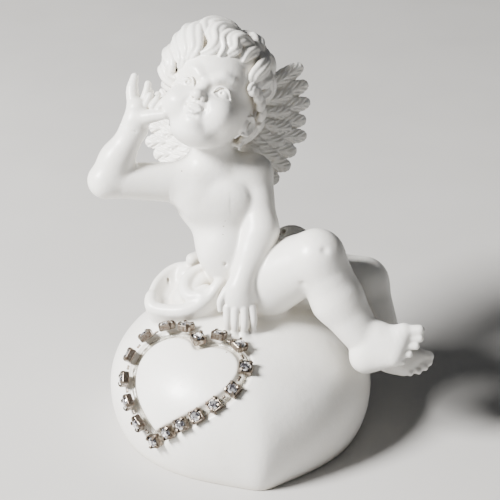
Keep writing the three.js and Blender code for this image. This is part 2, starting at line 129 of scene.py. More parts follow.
class Clay:
    """A distance field on a grid, sculpted by adding and carving shapes."""

    def __init__(self, xs, ys, zs):
        self.axes = (xs, ys, zs)
        self.field = np.full((len(xs), len(ys), len(zs)), FAR, np.float32)

    def window(self, low, high, margin=2.5):
        cut = []
        for axis, a, b in zip(self.axes, low, high):
            start = max(0, int(np.searchsorted(axis, a - margin)) - 1)
            stop = min(len(axis), int(np.searchsorted(axis, b + margin)) + 1)
            cut.append(slice(start, stop))
        x, y, z = (axis[s].astype(np.float32) for axis, s in zip(self.axes, cut))
        return tuple(cut), (x[:, None, None], y[None, :, None], z[None, None, :])

    def add(self, shape, k=0.0):
        low, high, distance = shape
        cut, p = self.window(low, high)
        self.field[cut] = blend_min(self.field[cut], distance(*p).astype(np.float32), k)

    def carve(self, shape, k=0.0):
        low, high, distance = shape
        cut, p = self.window(low, high)
        self.field[cut] = -blend_min(-self.field[cut], distance(*p).astype(np.float32), k)

    def sample(self, points):
        """The field at scattered points, by trilinear interpolation."""
        index, part = [], []
        for axis, value in zip(self.axes, points.T):
            i = np.clip(np.searchsorted(axis, value) - 1, 0, len(axis) - 2)
            index.append(i)
            part.append((value - axis[i]) / (axis[i + 1] - axis[i]))
        i, j, k = index
        u, v, w = part
        total = 0
        for di in (0, 1):
            for dj in (0, 1):
                for dk in (0, 1):
                    weight = (u if di else 1 - u) * (v if dj else 1 - v) * (w if dk else 1 - w)
                    total = total + weight * self.field[i + di, j + dj, k + dk]
        return total

    def surface(self):
        """Surface nets: one point in each cell that the surface crosses, joined by quads."""
        f = self.field
        inside = f < 0
        count = np.zeros(tuple(n - 1 for n in f.shape), np.int8)
        corners = [(a, b, c) for a in (0, 1) for b in (0, 1) for c in (0, 1)]
        trim = [slice(0, -1), slice(1, None)]
        for a, b, c in corners:
            count += inside[trim[a], trim[b], trim[c]]
        cell = np.argwhere((count > 0) & (count < 8))
        del count
        value = {corner: f[tuple((cell + corner).T)] for corner in corners}
        total = np.zeros((len(cell), 3))
        hits = np.zeros(len(cell))
        for a in corners:
            for axis in range(3):
                if a[axis]:
                    continue
                b = tuple(1 if i == axis else a[i] for i in range(3))
                crossed = (value[a] < 0) != (value[b] < 0)
                gap = np.where(crossed, value[a] - value[b], 1)
                spot = np.tile(np.array(a, float), (len(cell), 1))
                spot[:, axis] = value[a] / gap
                total[crossed] += spot[crossed]
                hits += crossed
        grid = cell + total / hits[:, None]
        places = [np.interp(at, np.arange(len(axis)), axis) for at, axis in zip(grid.T, self.axes)]
        points = np.stack(places, 1)
        number = np.full(tuple(n - 1 for n in f.shape), -1, np.int32)
        number[tuple(cell.T)] = np.arange(len(cell))
        quads = []
        for axis in range(3):
            one, two = (axis + 1) % 3, (axis + 2) % 3
            first = [slice(1, -1)] * 3
            first[axis] = slice(0, -1)
            second = list(first)
            second[axis] = slice(1, None)
            a, b = inside[tuple(first)], inside[tuple(second)]
            edge = np.argwhere(a != b)
            start = edge + [0 if i == axis else 1 for i in range(3)]
            outward = a[tuple(edge.T)]
            ring = []
            for back_one, back_two in ((1, 1), (0, 1), (0, 0), (1, 0)):
                where = start.copy()
                where[:, one] -= back_one
                where[:, two] -= back_two
                ring.append(number[tuple(where.T)])
            ring = np.stack(ring, 1)
            ring[~outward] = ring[~outward][:, ::-1]
            quads.append(ring)
        return self.settle(points), np.vstack(quads)

    def settle(self, points):
        """Moves the points along the slope of the field onto its zero level."""
        step = 0.12
        for _ in range(2):
            here = self.sample(points)
            slope = np.stack([
                self.sample(points + step * axis) - self.sample(points - step * axis) for axis in np.eye(3)
            ], 1) / (2 * step)
            move = here[:, None] * slope / np.maximum((slope**2).sum(1), 0.2)[:, None]
            points = points - np.clip(move, -0.15, 0.15)
        return points


def visible(name, mesh, node):
    """Puts a mesh in the scene as the visible stand-in for a CAD node."""
    piece = bpy.data.objects.new(name, mesh)
    bpy.context.scene.collection.objects.link(piece)
    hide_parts(node)
    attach(piece, "root")
    return piece


def cast(name, clay, node):
    """Meshes a clay as the visible casting that stands for a CAD node."""
    points, quads = clay.surface()
    mesh = bpy.data.meshes.new(name)
    mesh.vertices.add(len(points))
    mesh.vertices.foreach_set("co", (points * MM).ravel())
    mesh.loops.add(quads.size)
    mesh.loops.foreach_set("vertex_index", quads.ravel())
    mesh.polygons.add(len(quads))
    mesh.polygons.foreach_set("loop_start", np.arange(0, quads.size, 4))
    mesh.update(calc_edges=True)
    mesh.validate()
    mesh.shade_smooth()
    return visible(name, mesh, node)


# ---- the body's joints, on or near those of the CAD model ----
CHEST = vec(-5.5, 7, 59.5)
BELLY = vec(-3.2, 4, 48)
PELVIS = vec(0.5, 4.5, 38.5)
NECK_LOW = vec(-7, 8.5, 67)
NECK_HIGH = vec(-6.5, 8.5, 76)
RAISED_SHOULDER = vec(-12, 6, 63.5)
RAISED_ELBOW = vec(-32, 3, 65.5)
RAISED_WRIST = vec(-25, 5.8, 78)
LOWERED_SHOULDER = vec(3, 8.5, 64.5)
LOWERED_ELBOW = vec(5, 0.5, 53.5)
LOWERED_WRIST = vec(0, -7, 42.2)
NEAR_HIP = vec(6.5, 0.5, 39.5)
NEAR_KNEE = vec(18.5, -5.5, 49.3)
NEAR_CALF = vec(23.5, -8, 39)
NEAR_ANKLE = vec(30.5, -11.8, 29.5)
FAR_HIP = vec(5.5, 10, 36.5)
FAR_KNEE = vec(30.5, 4.5, 36.5)
FAR_ANKLE = vec(36, -4, 25.5)

HEAD_CENTRE = vec(-6.7, 9.8, 83.3)
HEAD_TURN, HEAD_TILT, HEAD_ROLL = -13, 41, 12.5
HEAD_SIZE = 0.97
HEAD_REACH = 22            # nothing of the head is further from its centre


def head_axes():
    turn, tilt, roll = (math.radians(a) for a in (HEAD_TURN, HEAD_TILT, HEAD_ROLL))
    forward = vec(math.sin(turn) * math.cos(tilt), -math.cos(turn) * math.cos(tilt), math.sin(tilt))
    level = vec(math.cos(turn), math.sin(turn), 0)
    upright = np.cross(forward, level)
    across = level * math.cos(roll) - upright * math.sin(roll)
    up = upright * math.cos(roll) + level * math.sin(roll)
    return np.stack([across, up, forward])


HEAD = head_axes()


def in_head(*xyz):
    """A point given in the head's frame: x across the face, y up, z forward."""
    return HEAD_CENTRE + HEAD_SIZE * np.array(xyz, float) @ HEAD


def head_ball(centre, radii):
    return ellipsoid(in_head(*centre), HEAD_SIZE * np.array(radii, float), HEAD)


def head_chain(points, radii, count=0):
    route = spline(points, count) if count else np.array(points, float)
    return chain([in_head(*p) for p in route], HEAD_SIZE * np.atleast_1d(radii))


def mirrored(points, side):
    return np.array(points) * (side, 1, 1)


SIDES = (-1, 1)
EYE_OFFSET = 4.6           # from the middle of the face to the middle of an eye
SKULL = (vec(-1.8, 6.8, -2.4), vec(10.7, 10.5, 11))


# ---- head ----
def add_skull(clay):
    clay.add(head_ball(*SKULL), 1)
    clay.add(head_ball((0, -3.4, 2.2), (9.3, 8.8, 8.6)), 3)             # face
    clay.add(head_ball((0, -0.5, -2), (10.2, 8.2, 8.5)), 3)             # sides, down to the jaw
    clay.add(head_ball((-0.6, 5.4, 3.1), (8.6, 6, 6.8)), 3)             # rounded forehead
    for side in SIDES:
        clay.add(head_ball((side * 5.2, -4.7, 6.2), (4.1, 4, 4.5)), 1.8)    # cheeks
    clay.add(head_ball((0, -8.6, 8.4), (2.4, 1.7, 1.9)), 1.2)           # chin
    clay.add(head_ball((0, -10.8, 4.2), (5.2, 2.4, 4.6)), 2.5)          # soft under the chin


def add_eyes(clay):
    upper = [(2.5, -0.6, 9.7), (3.2, 0.9, 9.8), (4.5, 1.6, 9.4), (5.9, 1.1, 8.8), (7, -0.7, 7.9)]
    lower = [(2.5, -0.6, 9.7), (3.8, -1.4, 9.7), (5.1, -1.7, 9.3), (6.1, -1.4, 8.7), (7, -0.7, 7.9)]
    fold = [(2.6, 1.2, 9.8), (3.4, 2.1, 9.8), (4.8, 2.6, 9.3), (6.3, 2, 8.4), (7.5, 0.2, 7.4)]
    for side in SIDES:
        clay.carve(head_ball((side * EYE_OFFSET, 0.7, 10.8), (2.5, 1.8, 1.4)), 1.3)      # socket
        clay.carve(head_ball((side * 2, 0.7, 11), (0.9, 1.7, 1.1)), 1.3)      # deep inner corner
        clay.add(head_ball((side * (EYE_OFFSET - 0.1), 0.1, 7.5), (2.1, 1.75, 1.95)), 0.2)
        clay.add(head_chain(mirrored(upper, side), (0.16, 0.3, 0.32, 0.3, 0.16), 14), 0.2)
        clay.add(head_chain(mirrored(lower, side), (0.14, 0.2, 0.22, 0.2, 0.14), 14), 0.25)
        clay.carve(head_chain(mirrored(fold, side), (0.1, 0.2, 0.22, 0.2, 0.1), 14), 0.25)
        over = [(x, y - 0.5, z + 0.2) for x, y, z in upper[1:-1]]
        clay.carve(head_chain(mirrored(over, side), 0.17, 14), 0.1)             # under the upper lid
        iris = [(side * EYE_OFFSET + 1.05 * math.cos(a), 0.05 + 1.05 * math.sin(a), 9.4)
                for a in np.linspace(0, 2 * math.pi, 17)]
        clay.carve(head_chain(iris, 0.15), 0.1)
        clay.carve(head_ball((side * EYE_OFFSET, 0.1, 9.6), (0.42, 0.42, 0.7)), 0.1)    # drilled pupil
        for a in np.radians((30, 100, 160, 215, 325)):
            dimple = (side * EYE_OFFSET + 0.75 * math.cos(a), 0.1 + 0.75 * math.sin(a), 9.5)
            clay.carve(head_ball(dimple, (0.17, 0.17, 0.3)), 0.08)
        brow = [(1.9, 2.6, 9.6), (3.6, 3.9, 9.2), (5.6, 4, 8.1)]
        clay.add(head_chain(mirrored(brow, side), (0.4, 0.7, 0.4), 12), 1.8)


def add_nose_and_mouth(clay):
    clay.add(head_chain([(0.1, 1.4, 9.3), (0, -0.6, 10), (-0.2, -2.4, 11.3)], (0.9, 0.8, 1.2)), 1.3)
    clay.add(head_ball((-0.3, -2.6, 11.7), (1.35, 1.2, 1.2)), 0.5)
    for side in SIDES:
        clay.add(head_ball((side * 1.45 - 0.2, -3, 10.9), (0.8, 0.8, 0.9)), 0.4)
        clay.carve(head_chain([(side * 0.7 - 0.2, -3.9, 11.9), (side * 0.75 - 0.2, -3.2, 11.2)], 0.27), 0.15)
    clay.add(head_ball((0, -5.8, 9.2), (2.7, 2.3, 1.9)), 1)             # muzzle round the mouth
    for side in SIDES:
        laugh_line = [(2, -2.9, 10.9), (2.5, -4.2, 11), (2.8, -5.6, 10.9), (2.6, -7, 10.5)]
        clay.carve(head_chain(mirrored(laugh_line, side), (0.3, 0.35, 0.4, 0.15), 10), 0.9)
    clay.carve(head_chain([(0, -4.2, 11.3), (0, -4.7, 11.3)], 0.26), 0.3)   # dent over the lip
    clay.carve(head_chain([(-1.5, -5.6, 11.1), (-0.7, -6, 11.5), (0.8, -6, 11.5), (1.6, -5.6, 11.1)],
                          (0.25, 0.55, 0.55, 0.25), 8), 0.2)              # the open, smiling mouth
    clay.add(head_chain([(-0.9, -5.7, 10.7), (0.9, -5.7, 10.7)], 0.42), 0.1)   # teeth
    for side in SIDES:
        clay.add(head_chain([(side * 0.15, -5.15, 11.2), (side * 0.9, -5.1, 11.1), (side * 1.9, -5.45, 10.5)],
                            (0.34, 0.36, 0.2), 8), 0.2)
        clay.add(head_chain([(0, -6.95, 11), (side * 0.9, -6.75, 10.9), (side * 1.8, -5.7, 10.5)],
                            (0.42, 0.38, 0.2), 8), 0.25)
        clay.carve(head_ball((side * 2.2, -5.4, 10.7), (0.35, 0.4, 0.6)), 0.4)
    clay.carve(head_chain([(-1, -7.75, 10.6), (1, -7.75, 10.6)], 0.32), 0.6)


def add_ears(clay):
    for side in SIDES:
        clay.add(head_ball((side * 9.9, -3.2, -1.6), (1.5, 2.6, 2.3)), 0.5)
        clay.carve(head_ball((side * 11.3, -3, -1.2), (1, 1.7, 1.4)), 0.3)
        rim = [
            (10.3, -5.6, -0.6), (11, -5, -2.6), (11.2, -3, -3.7), (11.1, -1.2, -3), (10.7, -0.7, -1),
            (10.2, -1.5, 0.3),
        ]
        clay.add(head_chain(mirrored(rim, side), 0.45, 14), 0.3)
        clay.add(head_chain(mirrored([(10.5, -4.1, -1.4), (10.7, -2.3, -1.7)], side), 0.4), 0.25)


# ---- hair ----
def on_scalp(bearing, rise, height):
    """A point over the skull, in the head's frame. Bearing 0 is forward, 90 towards +x."""
    b, r = math.radians(bearing), math.radians(rise)
    direction = vec(math.sin(b) * math.cos(r), math.sin(r), math.cos(b) * math.cos(r))
    centre, radii = SKULL
    reach = 1 / math.sqrt(((direction / radii) ** 2).sum())
    return centre + direction * (reach + height)


def add_lock(clay, points, width, strands=3, count=20):
    """A lock of hair: strands side by side along a curve, tapering to both ends."""
    route = spline(points, count)
    along = np.gradient(route, axis=0)
    out = route - SKULL[0]
    out /= np.linalg.norm(out, axis=1)[:, None]
    side = np.cross(along, out)
    side /= np.maximum(np.linalg.norm(side, axis=1), 1e-6)[:, None]
    s = np.linspace(0, 1, count)
    swell = np.sin(np.pi * (0.16 + 0.76 * s)) ** 0.6
    radius = np.maximum((width / strands) * 0.72 * swell, 0.25)
    strands_made = []
    for i in range(strands):
        place = (i - (strands - 1) / 2) / max((strands - 1) / 2, 0.5)
        shift = place * width * 0.34 * swell
        sink = -0.6 * place * place
        strand = route + side * shift[:, None] + out * sink
        strands_made.append(chain([in_head(*p) for p in strand], HEAD_SIZE * radius))
    clay.add(merged(strands_made, 0.55), 0.05)


def swept_lock(start, end, wave, lift, phase, points=8):
    """Points of a lock from one (bearing, rise) to another, waving once from side to side."""
    out = []
    for s in np.linspace(0, 1, points):
        sway = wave * math.sin(2 * math.pi * s + phase) * min(1, 2.5 * s)
        bearing = start[0] + (end[0] - start[0]) * s + sway / max(math.cos(math.radians(start[1])), 0.5)
        rise = start[1] + (end[1] - start[1]) * s
        height = lift * (0.55 + 0.75 * math.sin(math.pi * s) - 0.25 * s)
        out.append(on_scalp(bearing, rise, height))
    return out


# Locks over the forehead and temples: (bearing, rise, height) along each, then its width.
FRONT_LOCKS = (
    (((60, 84, 1.4), (0, 76, 2.4), (-34, 62, 3.1), (-33, 46, 3.1), (-22, 35, 2.3), (-12, 27, 1.4)), 5.4),
    (((40, 62, 1.2), (14, 58, 2.3), (-5, 48, 3.1), (-6, 35, 2.9), (1, 24, 2.3), (0, 14, 1.9),
      (-9, 6, 1.3)), 3.9),
    (((52, 50, 1.2), (30, 49, 2.1), (13, 42, 2.8), (7, 30, 2.6), (13, 19, 2), (12, 9, 1.4)), 3.2),
    (((64, 46, 1.2), (46, 45, 2.4), (31, 41, 3.1), (22, 33, 3), (25, 24, 2.4), (20, 16, 1.5)), 4),
    (((80, 44, 1.2), (62, 40, 2), (50, 34, 2.5), (42, 25, 2), (41, 16, 1.2)), 3.4),
    (((94, 50, 1.2), (79, 38, 2.3), (75, 27, 3), (65, 15, 3), (60, 4, 2.3), (68, -5, 1.4)), 3.9),
    (((104, 38, 1.2), (93, 27, 2.2), (87, 14, 2.8), (75, 5, 2.6), (76, -4, 1.9), (86, -8, 1.2)), 3.6),
    (((112, 22, 1.2), (104, 10, 2.4), (96, 0, 2.8), (88, -10, 2.4), (90, -20, 1.6)), 3.4),
    (((-70, 66, 1.2), (-40, 46, 2.5), (-38, 33, 3.2), (-28, 21, 2.8), (-20, 8, 2.1), (-25, -2, 1.3)), 4.8),
    (((-92, 60, 1.2), (-66, 44, 2.8), (-50, 30, 3.4), (-37, 16, 2.8), (-28, 4, 2), (-32, -7, 1.2)), 4.6),
    (((-100, 42, 1.2), (-74, 30, 3), (-54, 16, 3.2), (-41, 5, 2.4), (-34, -7, 1.8), (-38, -15, 1.1)), 3.8),
    (((-102, 24, 1.4), (-80, 10, 3.2), (-60, -2, 3.3), (-50, -12, 2.6), (-54, -22, 2.1),
      (-43, -28, 1.2)), 3.8),
    (((-106, 6, 1.4), (-88, -8, 3), (-71, -16, 3.2), (-64, -27, 2.5), (-56, -36, 1.4)), 3.8),
    (((-112, -10, 1.4), (-98, -20, 2.6), (-84, -30, 2.6), (-74, -40, 1.8)), 3.4),
)


# Short curls from the temple back over the ear: x, y and z in the head's frame, then the size.
SIDE_CURLS = (
    (9.9, 4.6, 3.4, 1.6),
    (10.8, 4.2, 0.8, 1.7),
    (11.4, 3.2, -2, 1.8),
    (11.8, 1.6, -4.8, 1.8),
    (11.4, -0.6, -7.4, 1.8),
)


# Locks behind the ear, running down to the nape: points in the head's frame, then the width.
NAPE_LOCKS = (
    (((11.6, 0.8, -6.4), (11.3, -2.2, -7.4), (10.1, -4.6, -7.4), (8.9, -6.6, -6.2), (9.4, -7.8, -5.2)), 3.6),
    (((10.6, 0.4, -9), (9.6, -3.2, -9.8), (8, -6, -9.2), (6.6, -8.2, -8)), 4),
)


# Rows of locks round the back: rises from top to bottom, then step, wave and spread in degrees.
BACK_ROWS = (
    (86, 36, 44, 9, 190),
    (56, 12, 34, 10, 170),
    (28, -14, 30, 10, 170),
    (2, -38, 28, 9, 130),
)


def add_hair(clay):
    # a smooth cap under the locks, kept off the forehead
    centre, radii = SKULL
    clay.add(head_ball(centre + vec(0, 1.2, -1.2), radii + vec(1.2, 0.9, 0.6)), 0.5)
    clay.add(head_ball(centre + vec(0.2, 2, -0.6), radii + vec(1.2, 0.5, 0.7)), 0.5)
    for row, (high, low, step, wave, spread) in enumerate(BACK_ROWS):
        count = int(spread / step)
        for i in range(count + 1):
            bearing = 180 + (i - count / 2) * step + (step / 2 if row % 2 else 0)
            phase = 2.1 * ((i + row) % 3)
            points = swept_lock((bearing - 6, high), (bearing + 6, low), wave, 2.8, phase)
            add_lock(clay, points, 5)
    for points, width in FRONT_LOCKS:
        add_lock(clay, [on_scalp(*p) for p in points], width)
    for side in SIDES:
        for x, y, z, size in SIDE_CURLS:
            add_curl(clay, vec(side * x, y, z), size, side)
        for points, width in NAPE_LOCKS:
            add_lock(clay, mirrored(points, side), width)


CURL_TURNS = 1.4


def add_curl(clay, centre, size, side):
    """A small round curl: a strand wound inwards over a flat ball."""
    out = unit(centre - SKULL[0] * vec(1, 0.4, 1))
    across = unit(np.cross(out, vec(0, 1, 0.2)))
    up = np.cross(across, out)
    points = []
    for t in np.linspace(0, 1, 16):
        angle = side * 2 * math.pi * CURL_TURNS * t
        radius = size * (1 - 0.75 * t)
        points.append(centre + radius * (math.cos(angle) * across + math.sin(angle) * up) + out * (0.7 * t))
    clay.add(head_chain(points, (0.62, 0.55, 0.4)), 0.15)
    axes = np.stack([across, up, out]) @ HEAD
    clay.add(ellipsoid(in_head(*centre), HEAD_SIZE * size * np.array((1, 1, 0.7)), axes), 0.2)


# ---- torso and limbs ----
def add_torso(clay):
    clay.add(ellipsoid(CHEST, (10.6, 7.2, 9.6), tilted(vec(-0.12, 0.2, 1))), 0)
    clay.add(taper(CHEST + vec(1, -0.3, -3), BELLY, 7.8, 7.1), 3)
    clay.add(taper(BELLY, PELVIS, 7.2, 8), 3)
    clay.add(ellipsoid((-3.8, -0.5, 47), (5.4, 3.6, 5.6)), 3)                    # round tummy
    clay.add(ellipsoid((3.5, 9.5, 38.5), (8.6, 7.5, 6.8)), 3)                    # seat
    clay.add(taper(NECK_LOW, NECK_HIGH, 5.4, 5), 2.5)
    clay.add(taper(RAISED_SHOULDER, NECK_LOW, 4, 4.6), 3)
    clay.add(taper(LOWERED_SHOULDER, NECK_LOW, 4, 4.6), 3)
    clay.add(ellipsoid((-9.6, 1.2, 60.5), (4.4, 2.1, 3.6)), 3.5)                 # breast
    clay.add(ellipsoid((-2, 1.6, 60.5), (4.4, 2.1, 3.6)), 3.5)
    clay.carve(ellipsoid((-3.6, -4.4, 46.8), (0.35, 0.35, 0.45)), 0.7)           # navel


def tilted(up):
    """Axes whose third row points along up."""
    z = unit(np.array(up, float))
    x = unit(np.cross(vec(0, 1, 0), z))
    return np.stack([x, np.cross(z, x), z])


def crease(clay, points, depth, softness=0.8):
    clay.carve(chain(spline(points, 10), depth), softness)


def add_raised_arm(clay):
    arm = [
        taper(RAISED_SHOULDER, RAISED_ELBOW, 5.1, 4.1),
        taper(RAISED_ELBOW, RAISED_WRIST, 4.2, 3),
        ellipsoid((-29.6, 4, 70.4), (4.1, 4, 5), tilted(RAISED_WRIST - RAISED_ELBOW)),
        taper(RAISED_WRIST, (-24.3, 6.9, 82.4), 3, 2.6),
    ]
    clay.add(merged(arm, 1.5), 3)
    open_fingers = (
        ([(-25, 5.6, 80), (-21.6, 4.4, 81.4), (-17.7, 3, 82.6)], (2, 1.7, 1.2), 1.2),         # thumb
        ([(-25, 7.6, 83), (-25.5, 9.6, 86), (-25, 11.6, 88.6)], (1.7, 1.5, 0.95), 0.5),
        ([(-22.8, 7.8, 83.5), (-22, 9.4, 86), (-21.8, 10.4, 87.3)], (1.2, 0.95, 0.8), 0.3),
    )
    for joints, radii, k in open_fingers:
        clay.add(chain(spline(joints, 8), radii), k)
    curled = [((-22.2, 6.2, 83.6), (-21.2, 7.3, 85.5)), ((-20.5, 5.2, 83.6), (-19.4, 6.3, 85.2)),
              ((-19, 4.2, 83.3), (-18, 5.2, 84.9))]
    for low, high in curled:
        clay.add(taper(low, high, 0.95, 0.85), 0.15)
        clay.add(taper(low, vec(*high) + vec(0, 2.5, 0), 0.9, 0.8), 0.2)
    crease(clay, [(-28, 5.2, 79), (-25, 2.9, 78.4), (-22.2, 5, 79)], 0.18, 0.6)


def add_lowered_arm(clay):
    arm = [
        taper(LOWERED_SHOULDER, LOWERED_ELBOW, 4.9, 4),
        taper(LOWERED_ELBOW, LOWERED_WRIST, 3.9, 3),
        ellipsoid((3.6, -1.4, 50), (3.8, 3.6, 5.4), tilted(LOWERED_ELBOW - LOWERED_WRIST)),
        ellipsoid((-0.2, -8.2, 39.4), (3.9, 2.2, 3.6), tilted((0, 0.35, 1))),
    ]
    clay.add(merged(arm, 2.6), 0.9)
    clay.add(ellipsoid(LOWERED_SHOULDER + vec(-0.8, -0.6, 1), (4.9, 4.6, 4)), 2.2)
    fingers = [((-3, -9.4, 37.6), (-3.1, -10.4, 34.6), (-2.9, -10.6, 32.1)),
               ((-1.1, -9.9, 37.4), (-1.2, -11, 34.2), (-1.2, -11.1, 31.4)),
               ((1, -9.9, 37.4), (1.1, -11.1, 34.2), (0.9, -11.3, 30.9)),
               ((2.8, -9.2, 37.6), (3.2, -10.3, 34.8), (3.1, -10.4, 32.4))]
    for joints in fingers:
        clay.add(chain(spline(joints, 8), (1.05, 0.98, 0.82)), 0.16)
    thumb = [(-3.3, -7.8, 41.4), (-4.7, -9, 39), (-4.8, -9.6, 37)]
    clay.add(chain(spline(thumb, 8), (1, 0.9, 0.65)), 0.4)
    for x in (-2.1, -0.1, 2):
        clay.carve(taper((x, -11.2, 38), (x, -12.5, 31), 0.15, 0.3), 0.2)


def add_leg(clay, joints, radii, k=2.5):
    for i in range(len(joints) - 1):
        clay.add(taper(joints[i], joints[i + 1], radii[i], radii[i + 1]), k)


def add_foot(clay, heel, ankle, roots, tips, thick):
    """A foot as a fan from heel to toes; roots and tips run from the big toe to the little toe."""
    clay.add(ellipsoid(heel, [thick * 1.15] * 3), 1.5)
    clay.add(taper(ankle, heel, thick * 1.2, thick * 1.1), 1.5)
    for i, (root, tip) in enumerate(zip(roots, tips)):
        inner = 0.55 * (1 - i / (len(tips) - 1))
        back = ankle * inner + heel * (1 - inner)
        clay.add(chain(spline([back, (back + root) / 2, root], 8), (thick, thick * 0.9, thick * 0.66)), 2)
        radius = 1.35 if i == 0 else 1.05 - 0.06 * i
        clay.add(taper(root, tip - unit(tip - root) * radius, radius * 1.15, radius), 0.5)


def add_legs(clay):
    add_leg(clay, [FAR_HIP, FAR_KNEE], [8.4, 6.4])
    add_leg(clay, [FAR_KNEE, FAR_ANKLE], [6.2, 3.8], 1.5)
    toes = np.array([
        (47.8, -6.8, 21.9), (47.4, -7.8, 20.7), (46.3, -8.8, 19.8), (44.6, -9.6, 19.1), (42.4, -10.2, 18.9),
    ])
    roots = np.linspace((43.8, -6, 22), (40.2, -8, 19.4), len(toes))
    add_foot(clay, vec(36.8, -5.6, 20.8), FAR_ANKLE, roots, toes, 2.6)
    add_leg(clay, [NEAR_HIP, NEAR_KNEE], [9.1, 6.6])
    add_leg(clay, [NEAR_KNEE, NEAR_CALF, NEAR_ANKLE], [6.3, 6.3, 4.4], 1.5)
    toes = np.array([
        (44.2, -14.4, 34.2), (44, -15.3, 32.4), (43, -16.2, 30.7), (41.4, -17, 28.8), (39.6, -17.6, 26.8),
    ])
    roots = np.linspace((39.3, -13.6, 33.4), (36.6, -16.8, 27.6), len(toes))
    add_foot(clay, vec(30.4, -13.8, 26.2), NEAR_ANKLE + vec(2.5, -0.6, 2), roots, toes, 3)
    crease(clay, [(14.9, -11.2, 44.8), (16, -12.8, 42), (17.6, -13.2, 38.6)], 0.35, 1.2)   # bend of the knee
    clay.carve(ellipsoid((20, -10.7, 53.9), (0.5, 0.5, 0.5)), 1.2)                         # kneecap dimple


# ---- the cloth round the hips ----
def add_cloth(clay, edge, middle, root, radii, ribs=40):
    """A curved sheet: ribs from an edge curve, over a middle curve, to a root curve."""
    curves = [spline(points, ribs) for points in (edge, middle, root)]
    shapes = [chain(spline([curve[i] for curve in curves], 6), radii) for i in range(ribs)]
    clay.add(merged(shapes, 1), 0.5)


def add_drape(clay):
    # a shallow dish of cloth beside the hip: its rim rises at the back and rolls over at the front
    rim = np.array([
        (-13.2, 9, 38.6), (-15.6, 9.4, 38.4), (-18.4, 8, 37.6), (-20.8, 4.8, 36.4), (-22, 1, 34.8),
        (-22, -1.2, 33.8), (-20.8, -2.6, 33.2), (-17.6, -4, 33.4), (-14.2, -5, 34), (-11.4, -5, 34.9),
        (-9, -4.4, 36.4), (-6.8, -3.6, 38.6),
    ])
    floor = np.array([
        (-13, 6, 35), (-14.5, 6, 34.6), (-16, 5.4, 33.6), (-17.4, 3.8, 32.6), (-18.2, 1.6, 31.6),
        (-18, 0, 31), (-16.4, -0.6, 31), (-14, -1, 31.4), (-12, -1, 32), (-10, -0.8, 33),
        (-8, -0.4, 34.6), (-6, 0, 36.4),
    ])
    wall = 0.55 * rim + 0.45 * floor - vec(0, 0, 0.9)
    add_cloth(clay, rim, wall, floor, (0.95, 1.15, 1.4))
    front_rim, front_floor = rim[4:], floor[4:]
    under = 0.9 * front_rim + 0.1 * front_floor + vec(0.6, 1.2, -3.4)
    bottom = front_floor * (0.9, 1, 1) + vec(0, 2.4, -1.5)
    add_cloth(clay, front_rim, under, bottom, (1.1, 1.2, 1.6))
    clay.add(ellipsoid((-11.5, 1.5, 33.5), (5.6, 5, 4)), 1)
    # the rolled front edge
    rolled = np.vstack([front_rim, (-4.6, -2.8, 41.4)])
    clay.add(chain(spline(rolled, 24), (0.9, 1.2, 1.5, 1.5, 1.3)), 0.8)
    # the inner fold that comes off the waist and turns back towards the lap
    fold = [
        (-9.6, 4.4, 41), (-11.6, 3.8, 40), (-13.4, 1.6, 38.8), (-13.6, -0.8, 37.4), (-12, -3, 36.8),
        (-9.4, -3.6, 37.6),
    ]
    clay.add(chain(spline(fold, 16), (1, 1.4, 1.6, 1.6, 1.5)), 0.9)
    filling = [(-9.2, 3.2, 38), (-11.4, 1.4, 36.6), (-10.8, -1, 35.6), (-8.4, -1.2, 37)]
    clay.add(chain(spline(filling, 10), 2.1), 1)
    crease(clay, [(-9.4, -2, 41.2), (-9.9, -3.2, 39.9), (-8.3, -4.8, 39.8), (-6.4, -5, 41.6)], 0.7, 1)
    crease(clay, [(-18.6, 7.4, 37), (-17, 3.4, 35.2), (-15.2, 0.8, 34.6)], 0.35, 0.3)
    # round the back of the seat, and the end that stands up behind the far hip
    rolls = (
        ([(-13, 8, 36.5), (-9, 14, 36.5), (2, 17.5, 36.5), (12, 16.5, 38)], (3, 3.6, 3.8, 3.4)),
        ([(-12, 8.6, 41), (-6, 12, 41.5), (4, 15, 41.5), (12, 15.5, 43)], (1.6, 1.8, 1.8, 1.6)),
        ([(8, 14, 41), (12, 16, 43.4), (15.2, 15.8, 43), (17.2, 13.5, 40)], (2.6, 3, 2.6, 2.2)),
    )
    for points, radii in rolls:
        clay.add(chain(spline(points, 14), radii), 1.1)
    crease(clay, [(-12, 13, 39.4), (0, 18.5, 39.4), (12, 18, 41)], 0.6, 1.3)
    crease(clay, [(10, 14, 45.5), (13, 17.8, 44), (14, 18, 40.5)], 0.5, 1.3)


# ---- wings ----
QUILL_HEIGHT, QUILL_WIDTH = 0.2, 0.3
BARB_HEIGHT, BARB_SPACING, BARB_SLANT = 0.19, 1.05, 0.5


